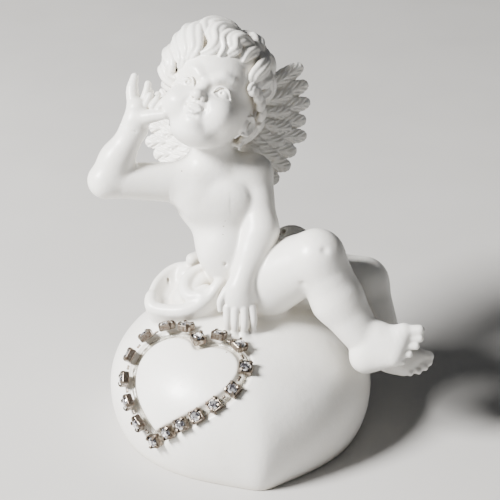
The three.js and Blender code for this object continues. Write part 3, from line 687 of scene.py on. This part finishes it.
def feather(start, end, face, width, thickness):
    """A round-ended blade with a raised quill and long slanted barbs; face is its flat side's direction."""
    start, end = np.array(start, float), np.array(end, float)
    length = np.linalg.norm(end - start)
    along = (end - start) / length
    normal = unit(face - along * (face @ along))
    wide = np.cross(normal, along)
    middle = (start + end) / 2
    reach = np.abs(wide) * width + np.abs(along) * length / 2 + np.abs(normal) * thickness

    def distance(x, y, z):
        dx, dy, dz = x - middle[0], y - middle[1], z - middle[2]
        s = dx * along[0] + dy * along[1] + dz * along[2]
        u = dx * wide[0] + dy * wide[1] + dz * wide[2]
        n = dx * normal[0] + dy * normal[1] + dz * normal[2]
        bend = 0.35 * (u / width) ** 2
        half_width = width * (0.9 - 0.1 * np.clip(2 * s / length, -1, 1))
        across = np.sqrt((u / half_width) ** 2 + ((n + bend) / thickness) ** 2)
        reach_along = (np.abs(s) / (length / 2)) ** 3
        body = (reach_along + across**3) ** (1 / 3) - 1
        outline = (reach_along + (np.abs(u) / half_width) ** 3) ** (1 / 3)
        inside = np.clip(3.5 * (1 - outline), 0, 1)                    # relief fades out at the edge
        quill = QUILL_HEIGHT * np.exp(-((u / QUILL_WIDTH) ** 2))
        off_quill = np.clip(np.abs(u) / 0.5, 0, 1)
        waves = np.cos((BARB_SLANT * s - np.abs(u)) * 2 * np.pi / BARB_SPACING)
        return body * thickness - (quill + BARB_HEIGHT * waves * off_quill) * inside

    return middle - reach - 0.4, middle + reach + 0.4, distance


def add_coverts(clay, root, bend, low, edge, face, count=6, length=4.4):
    """Small feathers on both sides of the bone."""
    for k in np.linspace(0.15, 0.95, count):
        on_bone = root + (bend - root) * k
        toward = unit(low * (1 - k) + edge * k - on_bone)
        for side in SIDES:
            start = on_bone - toward * 1.2 + side * face * (1.9 - 0.7 * k)
            clay.add(feather(start, start + toward * length, side * face, 1.5, 0.7), 0.15)


def add_wing(clay, root, bend, low, edge, tip, rows):
    """Rows of feathers from a bone to a curved outer rim; later rows are shorter and lie on top."""
    span = np.cross(tip - low, bend - edge)
    face = unit(span if span[1] < 0 else -span)
    clay.add(taper(root, bend, 2.4, 1.5), 0.8)
    add_coverts(clay, root, bend, low, edge, face)
    for count, reach, width, thickness, rise, start_k in rows:
        for i in range(count):
            k = i / (count - 1)
            rim = (1 - k) ** 2 * low + 2 * k * (1 - k) * edge + k * k * tip
            start = root + (bend - root) * (start_k + (1 - start_k) * k)
            end = start + (rim - start) * reach * (1 + 0.04 * math.sin(2.6 * i))
            lift = face * rise
            clay.add(feather(start + lift, end + lift, face + 0.25 * unit(low - tip), width, thickness), 0.12)


# Each row: feathers, reach towards the rim, half width, half thickness, lift, where it starts on the bone.
FEATHER_ROWS = (
    (8, 1.0, 2.7, 0.8, 0.0, 0.0),
    (7, 0.7, 2.2, 0.75, 0.8, 0.15),
    (7, 0.42, 1.9, 0.75, 1.4, 0.3),
    (7, 0.22, 1.3, 0.7, 1.9, 0.4),
)


# Each wing: the box its grid fills, then its bone's root and bend and the rim's low, edge and tip.
RIGHT_WING = (
    ((-3, 11, 54), (20, 34, 88)),
    ((1.5, 16.5, 63), (3, 26, 77), (9.5, 19, 57.5), (20.5, 24.5, 68.5), (15.8, 30, 84.6)),
)
LEFT_WING = (
    ((-28, 11, 55), (-3, 34, 86)),
    ((-9.5, 15, 63.5), (-9, 26, 76), (-17, 18.5, 59), (-29.5, 22.5, 66), (-17.5, 30, 82.5)),
)


def build_wing(wing):
    (low, high), points = wing
    cell = 0.26
    clay = Clay(*(np.arange(a, b, cell) for a, b in zip(low, high)))
    add_wing(clay, *(vec(*p) for p in points), FEATHER_ROWS)
    return clay


# ---- heart base ----
BASE_RADIUS = 33
BASE_CENTRE = vec(0, 1.5, 10)
BASE_RISE, BASE_DROP = 22.5, 26
BASE_POWER = 2.1
TIP_BEARING = -81
TIP_GROWTH, TIP_WIDTH = 0.105, 0.16
CLEFT_DEPTH, CLEFT_WIDTH = 0.2, 0.5
BASE_MEAN_RADIUS = 27      # turns the field's fraction into rough millimetres


def base_field(x, y, z):
    """Negative inside the puffy heart; about a distance in millimetres near the surface."""
    dx, dy, dz = x - BASE_CENTRE[0], y - BASE_CENTRE[1], z - BASE_CENTRE[2]
    bearing = np.arctan2(dy, dx)
    from_tip = np.abs(np.angle(np.exp(1j * (bearing - math.radians(TIP_BEARING)))))
    from_cleft = np.pi - from_tip
    fade = np.clip(1 - z / 30, 0, 1)
    point = TIP_GROWTH * fade * np.exp(-(np.hypot(from_tip, 0.1) - 0.1) / TIP_WIDTH)
    cleft = CLEFT_DEPTH * np.exp(-((from_cleft / CLEFT_WIDTH) ** 2))
    across = np.hypot(dx, dy) / (BASE_RADIUS * (1 + point - cleft))
    along = np.abs(dz) / np.where(dz > 0, BASE_RISE, BASE_DROP)
    return ((across**BASE_POWER + along**BASE_POWER) ** (1 / BASE_POWER) - 1) * BASE_MEAN_RADIUS


def base_point(inside, direction):
    near, far = 0.0, 80.0
    for _ in range(40):
        middle = (near + far) / 2
        if base_field(*(inside + direction * middle)) < 0:
            near = middle
        else:
            far = middle
    return inside + direction * near


HEART_CENTRE = vec(-14.8, -19.2, 23.2)
HEART_BEARING, HEART_RISE = math.radians(-127), math.radians(45)
FACING = vec(
    math.cos(HEART_RISE) * math.cos(HEART_BEARING),
    math.cos(HEART_RISE) * math.sin(HEART_BEARING),
    math.sin(HEART_RISE),
)
HEART_RIGHT = unit(np.cross(vec(0, 0, 1), FACING))
HEART_UP = np.cross(FACING, HEART_RIGHT)
CLEFT, POINT = vec(0.2, 10), vec(-1, -15)
LOBES = ((CLEFT, vec(-9, 17), vec(-27, -2), POINT), (POINT, vec(28, 6), vec(9, 19), CLEFT))


def heart_line(count):
    """Points on the base along the heart line, from the cleft round both lobes."""
    points = []
    for a, b, c, d in LOBES:
        for t in np.linspace(0, 1, count, endpoint=False):
            flat = (1 - t) ** 3 * a + 3 * t * (1 - t) ** 2 * b + 3 * t * t * (1 - t) * c + t**3 * d
            start = HEART_CENTRE + HEART_RIGHT * flat[0] + HEART_UP * flat[1] - FACING * 14
            points.append(base_point(start, FACING))
    return np.array(points + points[:1])


def base_normal(p):
    slope = [base_field(*(p + a * 0.05)) - base_field(*(p - a * 0.05)) for a in np.eye(3)]
    return unit(np.array(slope))


GROOVE_RADIUS, GROOVE_DEPTH = 1.8, 1.25
SEAT_TOP = 40              # the base's grid ends here, well above its crown
SEAT_FILLET = 2.6          # how softly the base swells up to the cherub
SEAT_GAP = 0.15            # it stops this far inside the cherub's surface
SEAT_RISE = 2.2            # and swells no further than this


def build_base(figure):
    """The heart, filleted to the cherub, with the groove cut into it."""
    xs, ys, zs = figure.axes
    top = int(np.searchsorted(zs, SEAT_TOP))
    clay = Clay(xs, ys, np.concatenate([np.arange(-1.2, zs[0] - 0.1, 0.4), zs[:top]]))
    offset = len(clay.axes[2]) - top
    x, y, z = xs[:, None, None], ys[None, :, None], clay.axes[2][None, None, :]
    clay.field = base_field(x, y, z).astype(np.float32)
    body = np.full_like(clay.field, FAR)
    body[:, :, offset:] = figure.field[:, :, :top]
    plain = clay.field.copy()
    clay.field = np.maximum(blend_min(clay.field, body + SEAT_GAP, SEAT_FILLET), plain - SEAT_RISE)
    line = heart_line(36)
    lifted = np.array([p + base_normal(p) * (GROOVE_RADIUS - GROOVE_DEPTH) for p in line])
    clay.carve(chain(lifted, GROOVE_RADIUS), 0.5)
    clay.field = np.maximum(clay.field, np.broadcast_to(-z, clay.field.shape).astype(np.float32))
    return clay


# ---- the figure's grid: finer round the head and hands ----
def spaced(stops, sizes):
    parts = [np.arange(a, b, s) for (a, b), s in zip(zip(stops, stops[1:]), sizes)]
    return np.concatenate(parts)


def build_figure():
    fine, coarse = ((0.21, 0.34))
    xs = spaced([-38, -29, 9, 50], [coarse, fine, coarse])
    ys = spaced([-36, -6, 22, 33], [coarse, fine, coarse])
    zs = spaced([16, 30, 44, 70, 105], [coarse, coarse, coarse, fine])
    clay = Clay(xs, ys, zs)
    add_torso(clay)
    add_legs(clay)
    add_drape(clay)
    add_raised_arm(clay)
    head = Clay(*clay.axes)
    add_skull(head)
    add_eyes(head)
    add_nose_and_mouth(head)
    add_hair(head)
    add_ears(head)
    cut, _ = clay.window(HEAD_CENTRE - HEAD_REACH, HEAD_CENTRE + HEAD_REACH, 0)
    clay.field[cut] = blend_min(clay.field[cut], head.field[cut], 0.9)
    add_lowered_arm(clay)
    return clay


# ---- small mesh pieces ----
def solid(name, points, faces, node, slot, smooth=False):
    mesh = bpy.data.meshes.new(name)
    mesh.from_pydata([tuple(p * MM) for p in points], [], faces)
    mesh.validate()
    mesh.update()
    if smooth:
        mesh.shade_smooth()
    return visible(name, mesh, node)


def nodes_named(start):
    return sorted(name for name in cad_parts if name.startswith(start))


def cad_points(node):
    """A CAD node's vertices, in millimetres."""
    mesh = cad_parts[node].data
    points = np.empty(len(mesh.vertices) * 3)
    mesh.vertices.foreach_get("co", points)
    return points.reshape(-1, 3) / MM


def stacked_rings(rings, caps=(True, True)):
    """Points and faces of a closed body made of rings of equal size, lowest first."""
    count = len(rings[0])
    points = np.vstack(rings)
    faces = []
    for level in range(len(rings) - 1):
        a, b = level * count, (level + 1) * count
        for i in range(count):
            j = (i + 1) % count
            faces.append((a + i, a + j, b + j, b + i))
    if caps[0]:
        faces.append(tuple(reversed(range(count))))
    if caps[1]:
        faces.append(tuple(range((len(rings) - 1) * count, len(rings) * count)))
    return points, faces


def oval(centre, wide, thick, sides):
    angles = np.linspace(0, 2 * math.pi, sides, endpoint=False)
    return np.array([centre + wide * math.cos(a) + thick * math.sin(a) for a in angles])


def joined(bodies):
    """Several closed bodies as one list of points and faces."""
    points, faces, start = [], [], 0
    for some_points, some_faces in bodies:
        points.append(some_points)
        faces += [tuple(i + start for i in face) for face in some_faces]
        start += len(some_points)
    return np.vstack(points), faces


def rounded_square(half, corner, height):
    """A ring of a square with cut corners, anticlockwise from above."""
    inset = half - corner
    ring = []
    for sx, sy in ((1, 1), (-1, 1), (-1, -1), (1, -1)):
        first, second = (half * sx, inset * sy), (inset * sx, half * sy)
        ring += [first, second] if sx * sy > 0 else [second, first]
    return np.array([(x, y, height) for x, y in ring])


def cup_frame(node):
    """The centre of a cup's floor and its axes: two along its sides and one out of the base."""
    points = cad_points(node)
    middle = points.mean(0)
    around = points - middle
    up = np.linalg.eigh(np.cov(around.T))[1][:, 0]      # a cup is thinnest along its own axis
    if up @ (middle - BASE_CENTRE) < 0:
        up = -up
    flat = around - (around @ up)[:, None] * up
    corner = unit(flat[np.argmax((flat**2).sum(1))])
    side = unit(corner + np.cross(up, corner))
    floor = middle + up * (around @ up).min()
    return floor, np.stack([side, np.cross(up, side), up])


CUP_HALF = 1.62
CUP_WALL = 0.24
CUP_HEIGHT = 1.55
CLAW_WIDTH, CLAW_THICK = 0.7, 0.2
STONE_RADIUS = 1.28


def cup_body(wobble):
    """A square stamped cup with a bent claw at each corner, standing on z = 0."""
    lip = CUP_HEIGHT
    inner = CUP_HALF - CUP_WALL
    rings = [
        rounded_square(CUP_HALF - 0.2, 0.3, 0),
        rounded_square(CUP_HALF - 0.03, 0.28, 0.12),
        rounded_square(CUP_HALF, 0.26, 0.4),
        rounded_square(CUP_HALF, 0.26, lip - 0.1),
        rounded_square(CUP_HALF - 0.07, 0.26, lip),
        rounded_square(inner + 0.05, 0.2, lip),
        rounded_square(inner, 0.2, lip - 0.1),
        rounded_square(inner, 0.2, 0.4),
        rounded_square(inner - 0.3, 0.1, 0.32),
    ]
    bodies = [stacked_rings(rings)]
    for corner in range(4):
        turn = math.radians(45 + 90 * corner)
        out = vec(math.cos(turn), math.sin(turn), 0)
        side = vec(-math.sin(turn), math.cos(turn), 0)
        reach = CUP_HALF * math.sqrt(2) - 0.3
        bend = 0.1 * wobble.normal()
        path = [(reach, lip - 0.5), (reach - 0.02, lip + 0.05), (reach - 0.25, lip + 0.42),
                (reach - 0.66, lip + 0.6 + 0.3 * bend), (reach - 1.02, lip + 0.56 + bend * 0.5)]
        widths = (0.9, 1, 0.92, 0.75, 0.45)
        claw = []
        for (radius, height), width in zip(path, widths):
            across = side * (CLAW_WIDTH / 2) * width
            spot = out * radius + vec(0, 0, height)
            back = out * CLAW_THICK * 0.5 + vec(0, 0, CLAW_THICK * 0.5)
            claw.append(np.array([spot - across - back, spot + across - back, spot + across + back,
                                  spot - across + back]))
        bodies.append(stacked_rings(claw))
    return joined(bodies)


def build_cups_and_stones(cup_material, stone_material):
    for name in nodes_named("rhinestone_cup_"):
        number = name.rsplit("_", 1)[1]
        floor, axes = cup_frame(name)
        wobble = np.random.default_rng(int(number))
        points, faces = cup_body(wobble)
        cup = solid("cup_" + number, floor + points @ axes, faces, name, "cup_metal")
        cup.data.materials.append(cup_material)
        stone = "rhinestone_" + number
        points, faces = brilliant(wobble.uniform(0, 0.5))
        seat = floor + axes[2] * (CUP_HEIGHT + 0.02)
        gem = solid("stone_" + number, seat + points @ axes, faces, stone, "crystal")
        gem.data.materials.append(stone_material)


# Rings of a stone's corners, from table to culet: corners, radius, height, turn in corners.
BRILLIANT = (
    (8, STONE_RADIUS * 0.5, 0.55, 0.5),
    (8, STONE_RADIUS * 0.82, 0.36, 0),
    (16, STONE_RADIUS, 0.05, 0.25),
    (16, STONE_RADIUS, -0.05, 0.25),
    (1, 0, -0.8, 0),
)


def brilliant(turn):
    """The convex hull of a brilliant's corners, so that every facet is flat and faces outwards."""
    corners = []
    for sides, radius, height, shift in BRILLIANT:
        for i in range(sides):
            angle = (i + shift) * 2 * math.pi / sides + turn
            corners.append((radius * math.cos(angle), radius * math.sin(angle), height))
    body = bmesh.new()
    verts = [body.verts.new(c) for c in corners]
    bmesh.ops.convex_hull(body, input=verts)
    body.verts.ensure_lookup_table()
    body.verts.index_update()
    points = np.array([v.co for v in body.verts])
    faces = [tuple(v.index for v in f.verts) for f in body.faces]
    body.free()
    return points, faces


LINK_HALF_WIDTH, LINK_HALF_THICKNESS = 0.42, 0.24


def build_links(material):
    """Each link is a short flat bar between two cups, waisted in the middle and rounded at the ends."""
    for name in nodes_named("chain_link_"):
        points = cad_points(name)
        middle = points.mean(0)
        spread = np.linalg.eigh(np.cov((points - middle).T))[1]
        along = spread[:, 2]
        reach = ((points - middle) @ along).max()
        out = unit(base_normal(middle))
        out = unit(out - along * (out @ along))
        side = np.cross(along, out)
        rings = []
        for s, size in ((-1, 0.6), (-0.85, 1), (-0.4, 0.85), (0, 0.8), (0.4, 0.85), (0.85, 1), (1, 0.6)):
            wide, thick = side * LINK_HALF_WIDTH * size, out * LINK_HALF_THICKNESS * size
            rings.append(oval(middle + along * reach * s, wide, thick, 12))
        body = stacked_rings(rings)
        link = solid(name.replace("chain_", ""), *body, name, "cup_metal", smooth=True)
        link.data.materials.append(material)


BEAD_HALF_WIDTH, BEAD_HALF_THICKNESS = 0.7, 0.4
BEAD_DEPTH = 0.95          # its middle below the surface of the base


def build_bead(material):
    """A bead of set glue along the groove, uneven where it was squeezed out."""
    line = heart_line(90)[:-1]
    count = len(line)
    sides = 10
    noise = np.random.default_rng(3)
    phases = noise.uniform(0, 2 * math.pi, 6)
    rings = []
    for i in range(count):
        s = 2 * math.pi * i / count
        along = unit(line[(i + 1) % count] - line[i - 1])
        out = base_normal(line[i])
        side = unit(np.cross(along, out))
        out = np.cross(side, along)
        swell = 1 + 0.3 * sum(math.sin((5 + 4 * n) * s + phase) for n, phase in enumerate(phases)) / 3
        centre = line[i] - out * BEAD_DEPTH
        wide, thick = side * BEAD_HALF_WIDTH * swell, out * BEAD_HALF_THICKNESS * swell
        rings.append(oval(centre, wide, thick, sides))
    points = np.vstack(rings)
    faces = []
    for i in range(count):
        j = (i + 1) % count
        for k in range(sides):
            m = (k + 1) % sides
            faces.append((i * sides + k, j * sides + k, j * sides + m, i * sides + m))
    bead = solid("glue", points, faces, "glue_bead", "clear_adhesive", smooth=True)
    bead.data.materials.append(material)
    return bead


# ---- materials ----
class Nodes:
    """A short way to write a node tree."""

    def __init__(self, name):
        self.material = bpy.data.materials.new(name)
        self.material.use_nodes = True
        self.tree = self.material.node_tree
        self.tree.nodes.clear()
        self.out = self.tree.nodes.new("ShaderNodeOutputMaterial")
        self.shader = self.tree.nodes.new("ShaderNodeBsdfPrincipled")
        self.join(self.shader.outputs[0], self.out.inputs["Surface"])
        self.place = self.tree.nodes.new("ShaderNodeTexCoord").outputs["Object"]

    def join(self, a, b):
        self.tree.links.new(a, b)

    def set(self, **values):
        for name, value in values.items():
            self.shader.inputs[name.replace("_", " ")].default_value = value

    def noise(self, scale, detail=3):
        node = self.tree.nodes.new("ShaderNodeTexNoise")
        node.inputs["Scale"].default_value = scale
        node.inputs["Detail"].default_value = detail
        self.join(self.place, node.inputs["Vector"])
        return node.outputs["Fac"]

    def spots(self, scale):
        node = self.tree.nodes.new("ShaderNodeTexVoronoi")
        node.inputs["Scale"].default_value = scale
        self.join(self.place, node.inputs["Vector"])
        return node.outputs["Distance"]

    def ramp(self, value, stops):
        node = self.tree.nodes.new("ShaderNodeValToRGB")
        while len(node.color_ramp.elements) < len(stops):
            node.color_ramp.elements.new(0.5)
        for element, (place, colour) in zip(node.color_ramp.elements, stops):
            element.position = place
            element.color = (*colour, 1) if len(colour) == 3 else colour
        self.join(value, node.inputs["Fac"])
        return node.outputs["Color"]

    def rescale(self, value, low, high, to_low, to_high):
        node = self.tree.nodes.new("ShaderNodeMapRange")
        for name, number in (("From Min", low), ("From Max", high), ("To Min", to_low), ("To Max", to_high)):
            node.inputs[name].default_value = number
        self.join(value, node.inputs["Value"])
        return node.outputs["Result"]

    def colour(self, value, stops):
        self.join(self.ramp(value, stops), self.shader.inputs["Base Color"])

    def roughness(self, value, smooth, rough, low=0.3, high=0.7):
        self.join(self.rescale(value, low, high, smooth, rough), self.shader.inputs["Roughness"])

    def math(self, operation, a, b):
        node = self.tree.nodes.new("ShaderNodeMath")
        node.operation = operation
        for socket, value in zip(node.inputs, (a, b)):
            if isinstance(value, (int, float)):
                socket.default_value = value
            else:
                self.join(value, socket)
        return node.outputs[0]

    def mix(self, factor, a, b, blend="MIX"):
        node = self.tree.nodes.new("ShaderNodeMix")
        node.data_type = "RGBA"
        node.blend_type = blend
        for socket, value in zip((node.inputs[0], node.inputs[6], node.inputs[7]), (factor, a, b)):
            if isinstance(value, (int, float, tuple)):
                socket.default_value = value
            else:
                self.join(value, socket)
        return node.outputs[2]

    def bump(self, height, strength, distance):
        node = self.tree.nodes.new("ShaderNodeBump")
        node.inputs["Strength"].default_value = strength
        node.inputs["Distance"].default_value = distance
        self.join(height, node.inputs["Height"])
        self.join(node.outputs[0], self.shader.inputs["Normal"])


def resin_material():
    """White painted resin: painted shade darkening it to cream in the hollows, faint mottling, soft lumps and
    a few dark spots of painted pit shade.
    """
    m = Nodes("painted resin")
    shade = m.tree.nodes.new("ShaderNodeAmbientOcclusion")
    shade.samples = 4
    shade.inputs["Distance"].default_value = 4 * MM
    # painted shade: ambient occlusion darkens the colour to cream in hollows, creases and between parts
    painted_hollow_shade = m.ramp(shade.outputs["AO"], [(0.15, (0.70, 0.655, 0.575)), (0.75, (0.85, 0.835, 0.80))])
    mottle = m.ramp(m.noise(90, 4), [(0.35, (0.955, 0.95, 0.935)), (0.65, (1, 1, 1))])
    colour = m.mix(1.0, painted_hollow_shade, mottle, "MULTIPLY")
    # painted shade: rare dark spots stand for the shade inside tiny air-bubble pits
    pit_shade_spots = m.math("LESS_THAN", m.spots(260), 0.055)
    rare = m.math("GREATER_THAN", m.noise(140, 2), 0.62)
    dark = m.math("MULTIPLY", pit_shade_spots, rare)
    colour = m.mix(dark, colour, (0.3, 0.26, 0.21, 1))
    m.join(colour, m.shader.inputs["Base Color"])
    m.roughness(m.noise(220), 0.34, 0.46)
    m.set(Specular_IOR_Level=0.5, Coat_Weight=0.25, Coat_Roughness=0.25, Subsurface_Weight=0.08)
    m.shader.inputs["Subsurface Radius"].default_value = (0.0012, 0.001, 0.0008)
    brushed = m.math("ADD", m.noise(900), m.math("MULTIPLY", m.noise(3200, 2), 0.35))
    m.bump(m.math("ADD", brushed, m.math("MULTIPLY", m.noise(170, 2), 3)), 0.4, 0.12 * MM)
    return m.material


def metal_material():
    """Tarnished plated cups: grey metal going brown where it is worn."""
    m = Nodes("tarnished plating")
    wear = m.noise(1500)
    m.colour(wear, [(0.3, (0.08, 0.055, 0.04)), (0.5, (0.19, 0.155, 0.125)), (0.75, (0.4, 0.36, 0.31))])
    m.roughness(wear, 0.5, 0.26, 0.3, 0.75)
    m.set(Metallic=1.0)
    m.bump(m.noise(5200, 2), 0.3, 0.03 * MM)
    return m.material


def crystal_material():
    """Foil-backed crystal: flat mirroring facets, with painted glints and painted dark reflections as small
    light and dark patches in the colour.
    """
    m = Nodes("foiled crystal")
    # painted glints and painted dark reflections: the colour runs from near black through grey to white in
    # small patches
    m.colour(m.noise(1500, 1), [(0.42, (0.16, 0.15, 0.17)), (0.5, (0.7, 0.69, 0.72)), (0.58, (1, 0.99, 1))])
    m.roughness(m.noise(1800, 2), 0.03, 0.1)
    m.set(Metallic=0.85, IOR=1.6, Coat_Weight=1.0, Coat_Roughness=0.02)
    return m.material


def glue_material():
    m = Nodes("set glue")
    m.colour(m.noise(500, 2), [(0.3, (0.74, 0.71, 0.62)), (0.7, (0.85, 0.83, 0.77))])
    m.roughness(m.noise(900, 2), 0.1, 0.28)
    m.set(Transmission_Weight=0.55, IOR=1.48)
    return m.material


def floor_material():
    m = Nodes("pale table")
    m.colour(m.noise(18), [(0.3, (0.5, 0.49, 0.475)), (0.7, (0.53, 0.52, 0.505))])
    m.roughness(m.noise(60, 2), 0.6, 0.7)
    return m.material


# ---- the room, lights and camera ----
FLOOR_REACH = 1.6          # metres from the middle to each side


def build_floor():
    mesh = bpy.data.meshes.new("floor")
    corners = [(FLOOR_REACH * x, FLOOR_REACH * y, 0) for x, y in ((-1, -1), (1, -1), (1, 1), (-1, 1))]
    mesh.from_pydata(corners, [], [(0, 1, 2, 3)])
    floor = bpy.data.objects.new("floor", mesh)
    bpy.context.scene.collection.objects.link(floor)
    floor.data.materials.append(floor_material())


def build_lamp(name, place, size, power, colour):
    lamp = bpy.data.lights.new(name, "AREA")
    lamp.shape = "DISK"
    lamp.size = size
    lamp.energy = power
    lamp.color = colour
    holder = bpy.data.objects.new(name, lamp)
    holder.location = Vector(place)
    holder.rotation_euler = (Vector((0, 0, 0.05)) - holder.location).to_track_quat("-Z", "Y").to_euler()
    bpy.context.scene.collection.objects.link(holder)


def build_lights():
    build_lamp("window", (-0.62, -0.26, 0.56), size=0.26, power=34, colour=(1, 0.99, 0.97))
    build_lamp("fill", (0.3, -1, 0.5), size=0.9, power=0.5, colour=(0.93, 0.96, 1))
    world = bpy.data.worlds.new("room")
    world.use_nodes = True
    background = world.node_tree.nodes["Background"]
    background.inputs["Color"].default_value = (0.9, 0.94, 1, 1)
    background.inputs["Strength"].default_value = 0.07
    bpy.context.scene.world = world


CAMERA_TARGET = vec(2.4, 3.0, 46.6)
CAMERA_ELEVATION = 28
CAMERA_DISTANCE = 392
CAMERA_LENS = 115.2


def build_camera():
    rise = math.radians(CAMERA_ELEVATION)
    camera = bpy.data.cameras.new("camera")
    camera.lens = CAMERA_LENS
    camera.sensor_width = 36
    holder = bpy.data.objects.new("camera", camera)
    back = vec(0, -math.cos(rise), math.sin(rise))
    holder.location = Vector((CAMERA_TARGET + back * CAMERA_DISTANCE) * MM)
    holder.rotation_euler = (math.radians(90 - CAMERA_ELEVATION), 0, 0)
    bpy.context.scene.collection.objects.link(holder)
    bpy.context.scene.camera = holder


# ---- everything together ----
def build_all():
    resin = resin_material()
    metal = metal_material()
    figure = build_figure()
    pieces = [
        cast("cherub", figure, "cherub_figure"),
        cast("heart", build_base(figure), "heart_base"),
        cast("wing_right", build_wing(RIGHT_WING), "right_wing"),
        cast("wing_left", build_wing(LEFT_WING), "left_wing"),
    ]
    for piece in pieces:
        piece.data.materials.append(resin)
    build_bead(glue_material())
    build_links(metal)
    build_cups_and_stones(metal, crystal_material())
    build_floor()
    build_lights()
    build_camera()


build_all()
